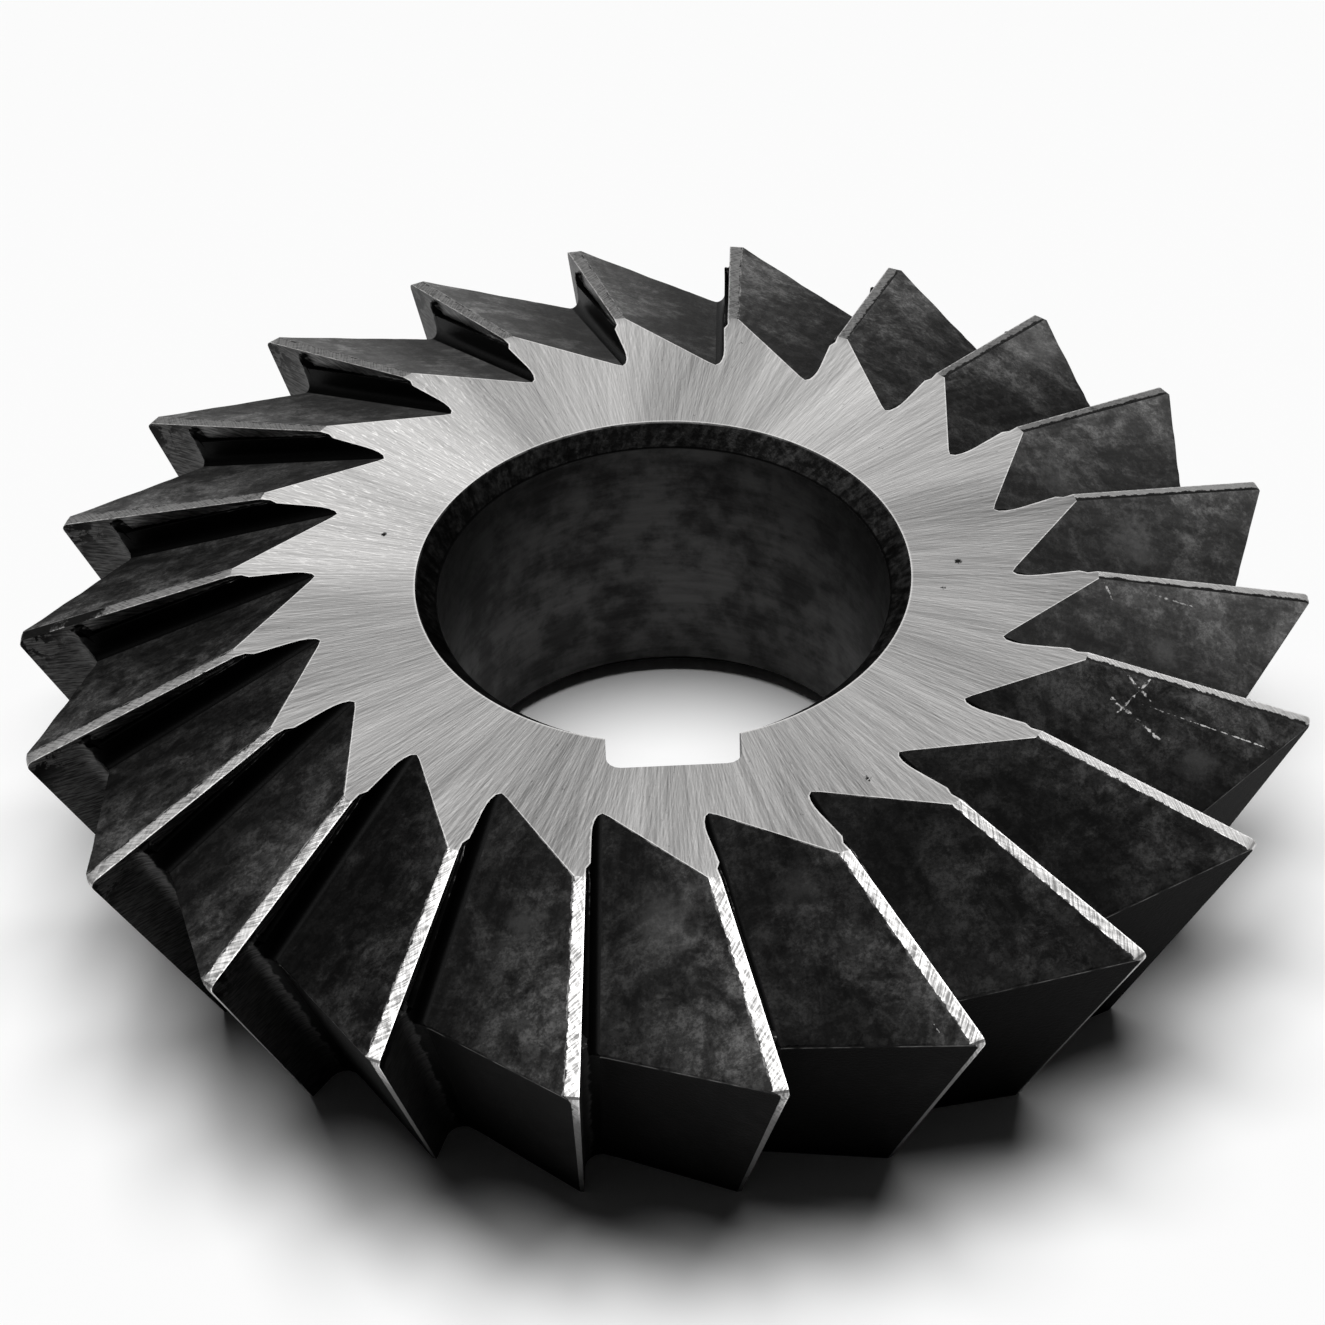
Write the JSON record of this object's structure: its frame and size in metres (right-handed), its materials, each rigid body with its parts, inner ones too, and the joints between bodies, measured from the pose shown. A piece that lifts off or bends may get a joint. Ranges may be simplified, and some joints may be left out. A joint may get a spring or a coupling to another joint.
{
  "type": "double angle milling cutter",
  "caption": "Disc-shaped milling cutter with pointed double angle teeth around its rim, a round arbor bore and one keyway.",
  "frame": {"origin": "on the bore axis, at the lower side face that the cutter lies on", "axes": "+Z along the bore axis, up through the face on the small angle side; -Y towards the keyway"},
  "size_m": [0.063, 0.0624, 0.016],
  "materials": {
    "tool_steel": "ground side faces and lands, dark scale in the gullets"
  },
  "bodies": {
    "root": {"cutter": "tool_steel"}
  },
  "joints": []
}
